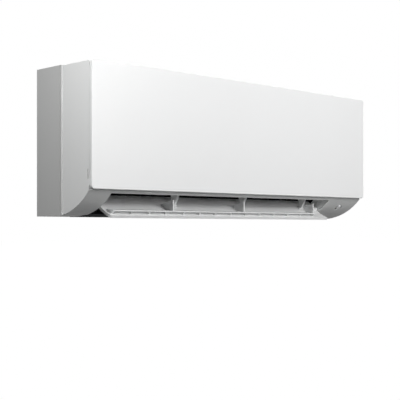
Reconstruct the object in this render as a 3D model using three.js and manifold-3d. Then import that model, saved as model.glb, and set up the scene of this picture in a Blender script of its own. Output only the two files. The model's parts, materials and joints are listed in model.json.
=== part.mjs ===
// Wall-mounted mini split indoor unit, in millimetres, +Z up, front towards -Y.
// The unit is laid out in its own side view: x from the middle of the unit, y behind the
// front panel's face, z above the underside. One group then puts the middle of the wall
// plate's back face at the origin.
import * as THREE from 'three';
import { mergeVertices } from 'three/addons/utils/BufferGeometryUtils.js';
import Module from 'manifold-3d';

const wasm = await Module();
wasm.setup();

// ---- Driving dimensions ----
const WIDTH = 890; // across the front panel
const CASE_TOP = 308.5; // underside to the top of the casing
const DEPTH = 190; // front panel's face to the wall
const MOUNT_HEIGHT = 155; // underside to the middle of the wall plate
const LEFT_CAP = 62; // panel's left end to the outlet
const RIGHT_CAP = 124.5; // outlet to the panel's right end
const WALL = 2.5; // moulded walls
const CLEAR = 0.3; // between pieces that meet
const RIB = 3;
const PANEL_THICKNESS = 6;
const PANEL_PROUD = 1.5; // panel above the casing's top
const PANEL_CORNER = 7;
const PANEL_OVERHANG = 1.5; // panel beyond the casing's side
const CHASSIS_PROUD = 1.5; // chassis beyond the casing's sides and top
const GRILLE_MARGIN = 15; // panel's end to the grille
const GRILLE_DEPTH = 4;
const HINGE_MARGIN = 45; // panel's end to each hinge arm
const SKIN = 3; // one skin of the flap
const FLAP_SIDE_GAP = 1;
const FLAP_OPEN = 64; // degrees, as it stands at rest
const PIVOT_RISE = 8; // flap's outer face to its pivot
const PIN_RADIUS = 1.8;
const SHAFT_RADIUS = 4;
const VANE_THICKNESS = 2;
const ROD_SIZE = 3;
const COIL_PLATE = 1.5;
const TUBE_RADIUS = 4;
const FILTER_THICKNESS = 1.8;
const MOTOR_GAP = 28.7; // air duct to the motor and to the control box
const MOTOR_LENGTH = 46;
const POCKET_COUNT = 13;
const BLADE_COUNT = 18;
const FAN_DISCS = 4;
const VANE_COUNT = 10; // in two groups that swing apart from each other

// Side-view points are drawn for a unit 190 deep and 308.5 high, and stretch with it.
const DEEP = DEPTH / 190;
const TALL = CASE_TOP / 308.5;
const ROUND = Math.min(DEEP, TALL); // for what has to stay round

function at(y, z) {
  return [y * DEEP, z * TALL];
}

function drawn(points) {
  return points.map(([y, z]) => at(y, z));
}

// ---- Depths and heights that follow the unit's own ----
const SEAM = 100 * DEEP; // front panel's face to the seam of the side
const BELLY_END = 130 * DEEP; // where the underside's curve meets its flat
const LIP_FRONT = 11.7 * DEEP; // lower front edge of the casing
const LIP_HEIGHT = 50.5 * TALL;
const PANEL_BOTTOM = 53.3 * TALL;
const OUTLET_TOP_EDGE = 16 * DEEP;
const FLANGE_REAR = 89 * DEEP; // rear end of the flanges beside the outlet
const PIVOT_Y = 58.8 * DEEP; // of the flap
const FLAP_FRONT = 17.2 * DEEP;
const FLAP_REAR = 86 * DEEP;
const [FAN_Y, FAN_Z] = at(100, 125);
const FAN_RADIUS = 49 * ROUND;
const FAN_HUB_INNER = 38 * ROUND;
const MOTOR_RADIUS = 42 * ROUND;
const VANE_AXIS = 112 * DEEP;
const ROD_REACH = 12 * DEEP; // vane axis to link rod
const ROD_BOTTOM = 34.5 * TALL;
const COIL_THICKNESS = 26 * ROUND;
const BEND_RADIUS = 12 * ROUND;
const GRILLE_REAR = 176 * DEEP;

// ---- Worked out from the above ----
const PANEL_HALF = WIDTH / 2;
const PANEL_TOP = CASE_TOP + PANEL_PROUD;
const CASE_HALF = PANEL_HALF - PANEL_OVERHANG;
const CHASSIS_HALF = CASE_HALF + CHASSIS_PROUD;
const CHASSIS_TOP = CASE_TOP + CHASSIS_PROUD;
const PLATE_THICKNESS = 2;
const CHASSIS_REAR = DEPTH - PLATE_THICKNESS - CLEAR; // its back, inside the rim on the wall
const CASE_FRONT = PANEL_THICKNESS + 2;
const BELLY_RADIUS = ((BELLY_END - LIP_FRONT) ** 2 + LIP_HEIGHT ** 2) / (2 * LIP_HEIGHT);
const OUTLET_LEFT = LEFT_CAP - PANEL_HALF;
const OUTLET_RIGHT = PANEL_HALF - RIGHT_CAP;
const OUTLET_WIDTH = OUTLET_RIGHT - OUTLET_LEFT;
const DUCT_LEFT = OUTLET_LEFT - WALL - CLEAR;
const DUCT_RIGHT = OUTLET_RIGHT + WALL + CLEAR;
const COIL_LEFT = DUCT_LEFT + CLEAR + COIL_PLATE + CLEAR;
const COIL_RIGHT = DUCT_RIGHT - CLEAR - COIL_PLATE - CLEAR;
const FLAP_LEFT = OUTLET_LEFT + FLAP_SIDE_GAP;
const FLAP_RIGHT = OUTLET_RIGHT - FLAP_SIDE_GAP;
const GRILLE_HALF = PANEL_HALF - GRILLE_MARGIN;
const HINGE_SPREAD = PANEL_HALF - HINGE_MARGIN;
const HINGE_AXIS = [14, CASE_TOP - 6.5]; // of the front panel
const GRILLE_FRONT = HINGE_AXIS[0] + 10;
const DUCT_FRONT = LIP_FRONT + WALL + CLEAR;
const PAN_FRONT = DUCT_FRONT + CLEAR;
const PAN_WALL = 2.2;
const COIL_FRONT = PAN_FRONT + PAN_WALL;
const FILTER_POST = (OUTLET_LEFT + OUTLET_RIGHT) / 2; // between the two filters
const MOTOR_LEFT = DUCT_RIGHT + MOTOR_GAP;

function alongOutlet(share) {
  return OUTLET_LEFT + share * OUTLET_WIDTH;
}

// ---- The curve of the underside ----
function bellyAngle(y) {
  return -90 - THREE.MathUtils.radToDeg(Math.asin((BELLY_END - y) / BELLY_RADIUS));
}

function bellyHeight(y) {
  return BELLY_RADIUS - Math.sqrt(BELLY_RADIUS ** 2 - (BELLY_END - y) ** 2);
}

const PIVOT_Z = bellyHeight(PIVOT_Y) + PIVOT_RISE;

const unit = new THREE.Group();
unit.position.set(0, -DEPTH, -MOUNT_HEIGHT);
unit.updateMatrixWorld(true);

// ---- Finishes ----
const FINISHES = {
  white: [0xf0f1ef, 0.45, 0],
  whiteFlap: [0xe9ebe9, 0.45, 0],
  black: [0x1b1c1e, 0.6, 0],
  grey: [0x8b9096, 0.6, 0],
  steel: [0xb9bcc0, 0.35, 1],
  aluminium: [0xcfd3d6, 0.4, 1],
  copper: [0xb87345, 0.35, 1],
  brass: [0xc9a24f, 0.35, 1],
  rubber: [0x232323, 0.85, 0],
  board: [0x2f6b45, 0.55, 0],
  net: [0x5f666d, 0.7, 0],
  lens: [0xf6f7f7, 0.2, 0],
};

function finish(name) {
  const [color, roughness, metalness] = FINISHES[name];
  return new THREE.MeshStandardMaterial({ color, roughness, metalness });
}

// ---- Solids ----
function solid(geometry) {
  const bare = geometry.clone();
  bare.deleteAttribute('normal');
  bare.deleteAttribute('uv');
  const merged = mergeVertices(bare, 1e-4);
  const source = merged.index.array;
  const kept = [];
  for (let i = 0; i < source.length; i += 3) {
    const [a, b, c] = source.slice(i, i + 3);
    if (a !== b && b !== c && c !== a) kept.push(a, b, c);
  }
  return new wasm.Manifold(new wasm.Mesh({
    numProp: 3,
    vertProperties: new Float32Array(merged.attributes.position.array),
    triVerts: new Uint32Array(kept),
  }));
}

function geometryOf(body) {
  const mesh = body.getMesh();
  const geometry = new THREE.BufferGeometry();
  geometry.setAttribute('position', new THREE.BufferAttribute(mesh.vertProperties, 3));
  geometry.setIndex(new THREE.BufferAttribute(mesh.triVerts, 1));
  geometry.computeVertexNormals();
  return geometry;
}

function join(first, ...others) {
  return others.reduce((whole, part) => whole.add(part), first);
}

function cut(first, ...others) {
  return others.reduce((whole, part) => whole.subtract(part), first);
}

function box(left, right, front, rear, low, high) {
  const geometry = new THREE.BoxGeometry(right - left, rear - front, high - low);
  geometry.translate((left + right) / 2, (front + rear) / 2, (low + high) / 2);
  return solid(geometry);
}

function rodAlongX(left, right, y, z, radius, sides = 16) {
  const geometry = new THREE.CylinderGeometry(radius, radius, right - left, sides);
  return solid(geometry.rotateZ(Math.PI / 2).translate((left + right) / 2, y, z));
}

function rodAlongY(front, rear, x, z, radius, sides = 16) {
  const geometry = new THREE.CylinderGeometry(radius, radius, rear - front, sides);
  return solid(geometry.translate(x, (front + rear) / 2, z));
}

function rodAlongZ(low, high, x, y, radius, sides = 16) {
  const geometry = new THREE.CylinderGeometry(radius, radius, high - low, sides);
  return solid(geometry.rotateX(Math.PI / 2).translate(x, y, (low + high) / 2));
}

// A side view runs along x: its first axis becomes y and its second becomes z.
const ALONG_X = new THREE.Matrix4().makeBasis(
  new THREE.Vector3(0, 1, 0),
  new THREE.Vector3(0, 0, 1),
  new THREE.Vector3(1, 0, 0),
);

function prism(shape, left, right, segments = 6) {
  const settings = { depth: right - left, bevelEnabled: false, curveSegments: segments };
  const geometry = new THREE.ExtrudeGeometry(shape, settings);
  return solid(geometry.applyMatrix4(ALONG_X).translate(left, 0, 0));
}

function outline(points) {
  return new THREE.Shape(points.map(([y, z]) => new THREE.Vector2(y, z)));
}

// The path moved sideways, with mitred corners; a positive distance lies to its left.
function offsetPath(points, distance) {
  const path = points.map(([y, z]) => new THREE.Vector2(y, z));
  return path.map((point, i) => {
    const before = point.clone().sub(path[Math.max(i - 1, 0)]).normalize();
    const after = path[Math.min(i + 1, path.length - 1)].clone().sub(point).normalize();
    const along = before.clone().add(after).normalize();
    const edge = i > 0 ? before : after;
    const stretch = distance / Math.max(along.dot(edge), 0.5);
    return [point.x - along.y * stretch, point.y + along.x * stretch];
  });
}

function strip(path, near, far) {
  return outline([...offsetPath(path, near), ...offsetPath(path, far).reverse()]);
}

function arcPoints(y, z, radius, start, end, steps) {
  const points = [];
  for (let i = 0; i <= steps; i += 1) {
    const angle = THREE.MathUtils.degToRad(start + ((end - start) * i) / steps);
    points.push([y + radius * Math.cos(angle), z + radius * Math.sin(angle)]);
  }
  return points;
}

function piece(name, body, look, parent = unit) {
  const mesh = new THREE.Mesh(geometryOf(body), finish(look));
  mesh.name = name;
  parent.add(mesh);
  return mesh;
}

function group(position, turn = 0, parent = unit) {
  const made = new THREE.Group();
  made.position.set(...position);
  made.rotation.x = turn;
  parent.add(made);
  return made;
}

function bellyArc(front, rear, inset, steps) {
  const radius = BELLY_RADIUS - inset;
  return arcPoints(BELLY_END, BELLY_RADIUS, radius, bellyAngle(front), bellyAngle(rear), steps);
}

// ---- Casing, chassis, grille and panel ----
const STEP_HEIGHT = PANEL_BOTTOM + 6.7; // where the lower edge steps back behind the panel
const HINGE_SETBACK = HINGE_AXIS[0] - 4; // top front edge, clear of the swinging panel
const FILTER_LOW = 80 * TALL;
const FILTER_HIGH = 292 * TALL;

function casingOutline(inset, rear) {
  return outline([
    ...bellyArc(LIP_FRONT + inset, rear, inset, 14),
    [rear, CASE_TOP - inset],
    [HINGE_SETBACK + 2 + inset, CASE_TOP - inset],
    [HINGE_SETBACK + inset, CASE_TOP - 1.5 - inset],
    [HINGE_SETBACK + inset, CASE_TOP - 10],
    [CASE_FRONT + inset, CASE_TOP - 12],
    [CASE_FRONT + inset, STEP_HEIGHT + inset],
    [LIP_FRONT + inset, STEP_HEIGHT + inset],
  ]);
}

function panelHinge(x) {
  const [y, z] = HINGE_AXIS;
  const cheek = outline([
    [HINGE_SETBACK - 1, CASE_TOP - WALL + 0.5],
    [HINGE_SETBACK - 0.5, z - 4],
    [y + 5, z - 6],
    [y + 9, CASE_TOP - WALL + 0.5],
  ]);
  const cheeks = [-1, 1].map((side) => {
    const middle = x + side * 6;
    return prism(cheek, middle - 1.5, middle + 1.5);
  });
  return { cheeks, hole: rodAlongX(x - 8.5, x + 8.5, y, z, 2.5 + CLEAR) };
}

function outletFlange(left) {
  return prism(outline([
    ...bellyArc(OUTLET_TOP_EDGE, FLANGE_REAR, 0.5, 8),
    ...drawn([[89, 30], [52, 60], [18, 56]]),
  ]), left, left + WALL);
}

function grilleLedge(side, front, rear, top) {
  const inner = side * (GRILLE_HALF - 6);
  const outer = side * (GRILLE_HALF + 6);
  const post = side * (GRILLE_HALF + 0.6);
  const low = CASE_TOP - GRILLE_DEPTH - CLEAR - WALL;
  const shelf = box(Math.min(inner, outer), Math.max(inner, outer), front, rear, low, low + WALL);
  const web = box(Math.min(post, outer), Math.max(post, outer), front, rear, low, top - 1);
  return join(shelf, web);
}

const SENSOR_X = PANEL_HALF - RIGHT_CAP / 2;
const SENSOR_Y = 36 * DEEP;
const SENSOR_TURN = THREE.MathUtils.degToRad(270 + bellyAngle(SENSOR_Y));
const SENSOR_PLACE = [SENSOR_X, SENSOR_Y, bellyHeight(SENSOR_Y)];
const SENSOR_WIDTH = 26;
const SENSOR_HEIGHT = 20;
const DOME_UP = 3.4; // dome towards the front of the recess
const BUTTON_PLACE = [PANEL_HALF - 85, 96 * TALL];
const BUTTON_RADIUS = 4;

function oval(width, height, low, high, sides = 20) {
  const geometry = new THREE.CylinderGeometry(0.5, 0.5, high - low, sides);
  geometry.rotateX(Math.PI / 2).scale(width, height, 1).translate(0, 0, (low + high) / 2);
  return solid(geometry);
}

function turned(body, place, turn) {
  const geometry = geometryOf(body);
  geometry.rotateX(turn).translate(...place);
  return solid(geometry);
}

function frontCasing() {
  const shell = cut(
    prism(casingOutline(0, SEAM), -CASE_HALF, CASE_HALF),
    prism(casingOutline(WALL, SEAM + 1), -CASE_HALF + WALL, CASE_HALF - WALL),
  );
  const outlet = prism(outline([
    [OUTLET_TOP_EDGE, -10],
    [SEAM + 1, -10],
    [SEAM + 1, 30 * TALL],
    [OUTLET_TOP_EDGE, 58 * TALL],
  ]), OUTLET_LEFT, OUTLET_RIGHT);
  const filterWindow = (left, right) => (
    box(left, right, CASE_FRONT - 1, CASE_FRONT + WALL + 2, FILTER_LOW, FILTER_HIGH));
  const grilleHole = box(-GRILLE_HALF - CLEAR, GRILLE_HALF + CLEAR, GRILLE_FRONT - CLEAR,
    SEAM + 1, CASE_TOP - WALL - 1, CASE_TOP + 1);
  const hinges = [-HINGE_SPREAD, HINGE_SPREAD].map(panelHinge);
  const armSlots = [-HINGE_SPREAD, HINGE_SPREAD].map((x) => (
    box(x - 3.6, x + 3.6, CASE_FRONT - 1, HINGE_AXIS[0] + 5, HINGE_AXIS[1] - 9, CASE_TOP + 1)));
  const notches = [-CASE_HALF, CASE_HALF].map((x) => (
    box(x - WALL - 1, x + WALL + 1, CASE_FRONT + 5, CASE_FRONT + 8, 74 * TALL, 93 * TALL)));
  const [buttonX, buttonZ] = BUTTON_PLACE;
  const body = join(
    cut(shell, outlet, grilleHole, filterWindow(OUTLET_LEFT, FILTER_POST - 5),
      filterWindow(FILTER_POST + 5, OUTLET_RIGHT)),
    ...hinges.flatMap((hinge) => hinge.cheeks),
    outletFlange(OUTLET_LEFT - WALL),
    outletFlange(OUTLET_RIGHT),
    ...[-1, 1].map((side) => grilleLedge(side, GRILLE_FRONT + 1, SEAM, CASE_TOP)),
  );
  return cut(body, ...hinges.map((hinge) => hinge.hole), ...armSlots, ...notches,
    turned(oval(SENSOR_WIDTH, SENSOR_HEIGHT, -6, 6), SENSOR_PLACE, SENSOR_TURN),
    rodAlongY(CASE_FRONT - 1, CASE_FRONT + WALL + 1, buttonX, buttonZ, BUTTON_RADIUS + CLEAR),
    rodAlongX(OUTLET_RIGHT - 1, OUTLET_RIGHT + WALL + 1, PIVOT_Y, PIVOT_Z, 3.2));
}

const CHANNEL_TOP = 48 * TALL; // of the pipe channel at the back
const CHANNEL_LEFT = DUCT_LEFT + 55.8;
const CHANNEL_RIGHT = DUCT_RIGHT - 23.3;
const HOOK_HALF = 14;

function motorCradle(x) {
  const front = FAN_Y + MOTOR_RADIUS - 12;
  const reach = MOTOR_RADIUS - 8;
  return box(x, x + RIB, front, CHASSIS_REAR - 1, FAN_Z - reach, FAN_Z + reach);
}

function rearChassis() {
  const front = SEAM + CLEAR;
  const shell = cut(
    box(-CHASSIS_HALF, CHASSIS_HALF, front, DEPTH, 0, CHASSIS_TOP),
    ...[[front - 1, CHASSIS_REAR - WALL], [CHASSIS_REAR, DEPTH + 1]].map(([from, to]) => (
      box(WALL - CHASSIS_HALF, CHASSIS_HALF - WALL, from, to, WALL, CHASSIS_TOP - WALL))),
  );
  const belly = prism(outline([
    [front - 1, -5],
    [BELLY_END, -5],
    ...bellyArc(front - 1, BELLY_END, 0, 4).reverse(),
  ]), -WIDTH, WIDTH);
  const bellyFill = prism(outline([
    ...bellyArc(front, BELLY_END, 0, 4),
    ...bellyArc(front, BELLY_END, WALL, 4).reverse(),
  ]), -CHASSIS_HALF, CHASSIS_HALF);
  const ductGap = box(DUCT_LEFT - WALL - CLEAR, DUCT_RIGHT + WALL + CLEAR, front - 2,
    DUCT_BASE_REAR + CLEAR, -5, WALL + 5);
  const channel = box(CHANNEL_LEFT, CHANNEL_RIGHT, CHASSIS_REAR - WALL - 1, CHASSIS_REAR + 1,
    WALL, CHANNEL_TOP);
  const grilleHole = box(-GRILLE_HALF - CLEAR, GRILLE_HALF + CLEAR, front - 2,
    GRILLE_REAR + CLEAR, CASE_TOP - WALL - 1, CHASSIS_TOP + 1);
  const hookSlots = [-HOOK_SPREAD, HOOK_SPREAD].map((x) => (
    box(x - HOOK_HALF - 2, x + HOOK_HALF + 2, CHASSIS_REAR - WALL - 1, CHASSIS_REAR + 1,
      HOOK_LOW - 2, HOOK_LOW + 12)));
  const cradles = [MOTOR_LEFT + 4, MOTOR_LEFT + MOTOR_LENGTH - 7].map(motorCradle);
  const motorRoom = rodAlongX(MOTOR_LEFT - 5, MOTOR_LEFT + MOTOR_LENGTH + 5, FAN_Y, FAN_Z,
    MOTOR_RADIUS + CLEAR, 32);
  const whole = join(cut(shell, belly), bellyFill,
    ...cradles.map((cradle) => cut(cradle, motorRoom)),
    ...[-1, 1].map((side) => grilleLedge(side, front, GRILLE_REAR - 1, CHASSIS_TOP)));
  return cut(whole, ductGap, channel, grilleHole, ...hookSlots);
}

const PLATE_HALF = PANEL_HALF - 105;
const PLATE_REACH = 115 * TALL; // middle of the plate to its top and bottom edges
const HOOK_SPREAD = PLATE_HALF - 90;
const HOOK_LOW = MOUNT_HEIGHT + PLATE_REACH - 20;

function wallPlate() {
  const front = DEPTH - PLATE_THICKNESS;
  const sheet = box(-PLATE_HALF, PLATE_HALF, front, DEPTH,
    MOUNT_HEIGHT - PLATE_REACH, MOUNT_HEIGHT + PLATE_REACH);
  const hooks = [-HOOK_SPREAD, HOOK_SPREAD].map((x) => join(
    box(x - HOOK_HALF, x + HOOK_HALF, front - 8, front + 1, HOOK_LOW, HOOK_LOW + 2),
    box(x - HOOK_HALF, x + HOOK_HALF, front - 8, front - 6, HOOK_LOW, HOOK_LOW + 9),
  ));
  const holes = [];
  for (const share of [-0.88, -0.3, 0.3, 0.88]) {
    for (const z of [MOUNT_HEIGHT - PLATE_REACH + 25, MOUNT_HEIGHT + PLATE_REACH - 35]) {
      holes.push(rodAlongY(front - 1, DEPTH + 1, share * PLATE_HALF, z, 3.5, 10));
    }
  }
  return cut(join(sheet, ...hooks), ...holes);
}

function topGrille() {
  const rows = 8;
  const columns = 5;
  const rim = 7;
  const bar = 3;
  const low = CASE_TOP - GRILLE_DEPTH;
  const bars = [];
  for (let row = 0; row <= rows; row += 1) {
    const width = row % rows === 0 ? rim : bar;
    const middle = GRILLE_FRONT + rim / 2
      + ((GRILLE_REAR - GRILLE_FRONT - rim) * row) / rows;
    bars.push(box(-GRILLE_HALF, GRILLE_HALF, middle - width / 2, middle + width / 2,
      low, CASE_TOP));
  }
  for (let column = 0; column <= columns; column += 1) {
    const width = column % columns === 0 ? rim : bar;
    const middle = -GRILLE_HALF + rim / 2 + ((2 * GRILLE_HALF - rim) * column) / columns;
    bars.push(box(middle - width / 2, middle + width / 2, GRILLE_FRONT, GRILLE_REAR,
      low, CASE_TOP));
  }
  return join(bars[0], ...bars.slice(1));
}

function frontPanel() {
  const half = PANEL_HALF;
  const shape = new THREE.Shape();
  const r = PANEL_CORNER;
  shape.moveTo(-half + r, PANEL_BOTTOM);
  shape.lineTo(half - r, PANEL_BOTTOM);
  shape.absarc(half - r, PANEL_BOTTOM + r, r, -Math.PI / 2, 0);
  shape.lineTo(half, PANEL_TOP - r);
  shape.absarc(half - r, PANEL_TOP - r, r, 0, Math.PI / 2);
  shape.lineTo(-half + r, PANEL_TOP);
  shape.absarc(-half + r, PANEL_TOP - r, r, Math.PI / 2, Math.PI);
  shape.lineTo(-half, PANEL_BOTTOM + r);
  shape.absarc(-half + r, PANEL_BOTTOM + r, r, Math.PI, 1.5 * Math.PI);
  const bevel = 1;
  const geometry = new THREE.ExtrudeGeometry(shape, {
    depth: PANEL_THICKNESS - 2 * bevel,
    bevelThickness: bevel,
    bevelSize: bevel,
    bevelOffset: -bevel,
    bevelSegments: 1,
    curveSegments: 4,
  });
  const slab = solid(geometry.rotateX(Math.PI / 2).translate(0, PANEL_THICKNESS - bevel, 0));
  const [y, z] = HINGE_AXIS;
  const arms = [-HINGE_SPREAD, HINGE_SPREAD].map((x) => join(
    prism(outline([
      [PANEL_THICKNESS - 1, z - 6],
      ...arcPoints(y, z, 4.2, -80, 80, 6),
      [PANEL_THICKNESS - 1, z + 5],
    ]), x - 3, x + 3),
    rodAlongX(x - 7.5, x + 7.5, y, z, 2.5, 12),
  ));
  return join(slab, ...arms);
}

// ---- Air duct, drain pan and the air path ----
const ROOF = drawn([[17.5, 56.5], [24, 65], [58, 85.5], [54.5, 97]]);
const DUCT_BASE_FRONT = 97.3 * DEEP;
const DUCT_BASE_REAR = 150 * DEEP;
const DUCT_BASE_DROP = 1; // black underside below the white one
const BRACKET_PLACES = [0.297, 0.6055, 0.914].map(alongOutlet);
const BRACKET_WIDTH = 6;
const BOSS_RADIUS = 3.7;
const SEAL_RADIUS = 16; // rubber seat of the fan's left bearing
const SLEEVE_RADIUS = 10;
const SPIGOT = at(24, 79.5);
const SPIGOT_RADIUS = 6;

function guidePath() {
  return drawn([
    ...arcPoints(90, 80, 75, -88, 0, 16),
    [160, 120],
    [153, 150],
    [141, 168],
    [147, 177],
    [171, 177],
    [174, 192],
  ]);
}

function ductSide(left) {
  const guide = offsetPath(guidePath(), -1);
  return prism(outline([
    ...guide.slice(0, -3),
    ...drawn([[100, 200], [47, 168], [47, 88]]),
    [DUCT_FRONT, 88 * TALL],
    [DUCT_FRONT, 62 * TALL],
    ...drawn([[20, 57], [50, 62], [91, 30]]),
  ]), left, left + WALL);
}

function underRoof(y) {
  const [, [frontY, frontZ], [rearY, rearZ]] = ROOF;
  const height = frontZ + ((rearZ - frontZ) * (y - frontY)) / (rearY - frontY);
  return [y, height - 2 * CLEAR];
}

// White arm that hangs below the roof of the duct and carries a pin of the flap.
function hangingBracket(x) {
  const arm = prism(outline([
    underRoof(32 * DEEP),
    at(44, 45.6),
    ...arcPoints(PIVOT_Y, PIVOT_Z, BOSS_RADIUS, 165, 380, 10),
    [PIVOT_Y + 3.1, PIVOT_Z + 5],
    at(66, 50),
    underRoof(57 * DEEP),
  ]), x - BRACKET_WIDTH / 2, x + BRACKET_WIDTH / 2);
  return cut(arm, rodAlongX(x - BRACKET_WIDTH, x + BRACKET_WIDTH, PIVOT_Y, PIVOT_Z,
    PIN_RADIUS + CLEAR, 12));
}

function vaneX(index) {
  const pitch = (DUCT_RIGHT - DUCT_LEFT) / VANE_COUNT;
  return DUCT_LEFT + pitch * (index + 0.5);
}

function airDuct() {
  const floor = prism(strip(guidePath(), 0, -WALL), DUCT_LEFT - WALL, DUCT_RIGHT + WALL);
  const base = join(
    box(DUCT_LEFT - WALL, DUCT_RIGHT + WALL, DUCT_BASE_FRONT, DUCT_BASE_REAR,
      -DUCT_BASE_DROP, 1.5),
    box(DUCT_LEFT - WALL, DUCT_RIGHT + WALL, DUCT_BASE_FRONT, DUCT_BASE_FRONT + 10, 0, 4.4),
  );
  const roof = prism(strip(ROOF, 0, WALL), DUCT_LEFT - WALL, DUCT_RIGHT + WALL);
  const sides = [ductSide(DUCT_LEFT - WALL), ductSide(DUCT_RIGHT)];
  const whole = join(floor, base, roof, ...sides);
  const vaneHoles = [];
  for (let i = 0; i < VANE_COUNT; i += 1) {
    vaneHoles.push(rodAlongZ(2.5, 12 * TALL, vaneX(i), VANE_AXIS, 2 + CLEAR, 10));
  }
  const rodY = VANE_AXIS + ROD_REACH;
  const rodSlots = [DUCT_LEFT - WALL - 1, DUCT_RIGHT - 1].map((left) => (
    box(left, left + WALL + 2, rodY - 5, rodY + 4, ROD_BOTTOM - 1, ROD_BOTTOM + ROD_SIZE + 1)));
  const capRoom = [[-CASE_HALF, OUTLET_LEFT + CLEAR], [OUTLET_RIGHT - CLEAR, CASE_HALF]].map(
    ([left, right]) => box(left, right, FLANGE_REAR - 9, SEAM + CLEAR, -5,
      bellyHeight(FLANGE_REAR) + WALL + CLEAR));
  return cut(whole, ...vaneHoles, ...rodSlots, ...capRoom,
    rodAlongX(DUCT_LEFT - WALL - 1, DUCT_LEFT + 1, FAN_Y, FAN_Z, SEAL_RADIUS + CLEAR, 24),
    rodAlongX(DUCT_RIGHT - 1, DUCT_RIGHT + WALL + 1, FAN_Y, FAN_Z, 14, 24),
    rodAlongX(DUCT_RIGHT - 1, DUCT_RIGHT + WALL + 1, PIVOT_Y, PIVOT_Z, 3.2),
    ...[DUCT_LEFT - WALL - 1, DUCT_RIGHT - 1].map((left) => (
      rodAlongX(left, left + WALL + 2, ...SPIGOT, SPIGOT_RADIUS + CLEAR))));
}

const PAN_TOP = 108 * TALL;
const PAN_STEP = 90 * TALL; // where the pan's ends make room for the coil

function drainPan() {
  const slope = drawn([[21, 67.3], [52, 86]]);
  const top = WALL + CLEAR - 1;
  const [low, high] = offsetPath(slope, top);
  const rearTop = 104 * TALL;
  const trough = [
    strip(slope, top, top + WALL),
    outline([[PAN_FRONT, low[1] + 6], low, [low[0] + 3, low[1] + 5], [COIL_FRONT, low[1] + 8],
      [COIL_FRONT, PAN_TOP], [PAN_FRONT, PAN_TOP]]),
    outline([high, [high[0], rearTop], [high[0] - 2, rearTop], [high[0] - 2.5, high[1] + 0.5]]),
  ].map((shape) => prism(shape, COIL_LEFT, COIL_RIGHT));
  const side = outline([low, high, [high[0], rearTop], [high[0] - 5, rearTop],
    [high[0] - 5, PAN_TOP], [PAN_FRONT, PAN_TOP], [PAN_FRONT, low[1] + 6]]);
  const ends = [COIL_LEFT, COIL_RIGHT - 2].map((left) => cut(
    prism(side, left, left + 2),
    box(left - 1, left + 3, 0, high[0] + 5, PAN_STEP - CLEAR, PAN_TOP + 1),
  ));
  const spigots = [[COIL_LEFT - 16, COIL_LEFT + 1], [COIL_RIGHT - 1, COIL_RIGHT + 16]];
  const bores = [[COIL_LEFT - 17, COIL_LEFT + 6], [COIL_RIGHT - 6, COIL_RIGHT + 17]];
  return cut(
    join(...trough, ...ends,
      ...spigots.map(([a, b]) => rodAlongX(a, b, ...SPIGOT, SPIGOT_RADIUS))),
    ...bores.map(([a, b]) => rodAlongX(a, b, ...SPIGOT, SPIGOT_RADIUS - 1.5)),
  );
}

// ---- Flap: built shut, about its pivot, and then swung open ----
const flap = group([0, PIVOT_Y, PIVOT_Z], THREE.MathUtils.degToRad(FLAP_OPEN));
const ARM_PLACES = [0.253, 0.5686, 0.9268].map(alongOutlet);
const WEDGE_LEFT = OUTLET_LEFT + 9;
const POCKET_PITCH = (OUTLET_RIGHT - 50.6 - RIB - WEDGE_LEFT) / POCKET_COUNT;
const FLAP_SHAFT_RADIUS = 2.5;

function aboutPivot(points) {
  return points.map(([y, z]) => [y - PIVOT_Y, z - PIVOT_Z]);
}

function flapStrip(front, rear, outer, inner) {
  return outline(aboutPivot([
    ...bellyArc(front, rear, outer, 10),
    ...bellyArc(front, rear, inner, 10).reverse(),
  ]));
}

// The inner skin's thick front edge, with a row of pockets sunk in it.
function pocketedEdge() {
  const edge = prism(outline(aboutPivot(drawn([
    [26.2, 41.8], [41.8, 31.6], [44, 33.5], [31.7, 53.1], [30.2, 52.6], [26.9, 43.4],
  ]))), WEDGE_LEFT, WEDGE_LEFT + POCKET_COUNT * POCKET_PITCH + RIB);
  const pocket = outline(aboutPivot(drawn([
    [24.5, 45.8], [29.3, 43.1], [38.5, 38.7], [31.6, 49.6], [27.5, 52.5],
  ])));
  const pockets = [];
  for (let i = 0; i < POCKET_COUNT; i += 1) {
    const left = WEDGE_LEFT + i * POCKET_PITCH + RIB;
    pockets.push(prism(pocket, left, left + POCKET_PITCH - RIB));
  }
  return cut(edge, ...pockets);
}

function flapInnerSkin() {
  const inner = 2 * SKIN + CLEAR;
  const skin = prism(flapStrip(FLAP_FRONT, FLAP_REAR, SKIN + CLEAR, inner), FLAP_LEFT, FLAP_RIGHT);
  const arms = ARM_PLACES.map((x) => prism(outline(aboutPivot(drawn([
    [40, 33], [34.4, 50], [54.8, 59.9], [64.4, 23], [63, 19.5],
  ]))), x - RIB / 2, x + RIB / 2));
  const lugs = BRACKET_PLACES.flatMap((x) => [-1, 1].map((side) => {
    const middle = x + side * (BRACKET_WIDTH / 2 + 2.8);
    return prism(outline([
      ...arcPoints(0, 0, 3.6, -10, 180, 8), [-5, -1.5], [3, -3.2],
    ]), middle - 2, middle + 2);
  }));
  const driveBlock = prism(outline([
    ...arcPoints(0, 0, 5.2, -10, 170, 8), [-6, -0.5], [5, -3],
  ]), FLAP_RIGHT - 14, FLAP_RIGHT);
  const bossRooms = BRACKET_PLACES.map((x) => (
    rodAlongX(x - BRACKET_WIDTH / 2 - 0.8, x + BRACKET_WIDTH / 2 + 0.8, 0, 0,
      BOSS_RADIUS + 1, 16)));
  const pinHoles = BRACKET_PLACES.map((x) => (
    rodAlongX(x - 10, x + 10, 0, 0, PIN_RADIUS + CLEAR, 12)));
  return cut(
    join(skin, pocketedEdge(), ...arms, ...lugs, driveBlock),
    ...bossRooms,
    ...pinHoles,
    rodAlongX(FLAP_RIGHT - 10, FLAP_RIGHT + 1, 0, 0, FLAP_SHAFT_RADIUS + CLEAR, 12),
  );
}

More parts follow.
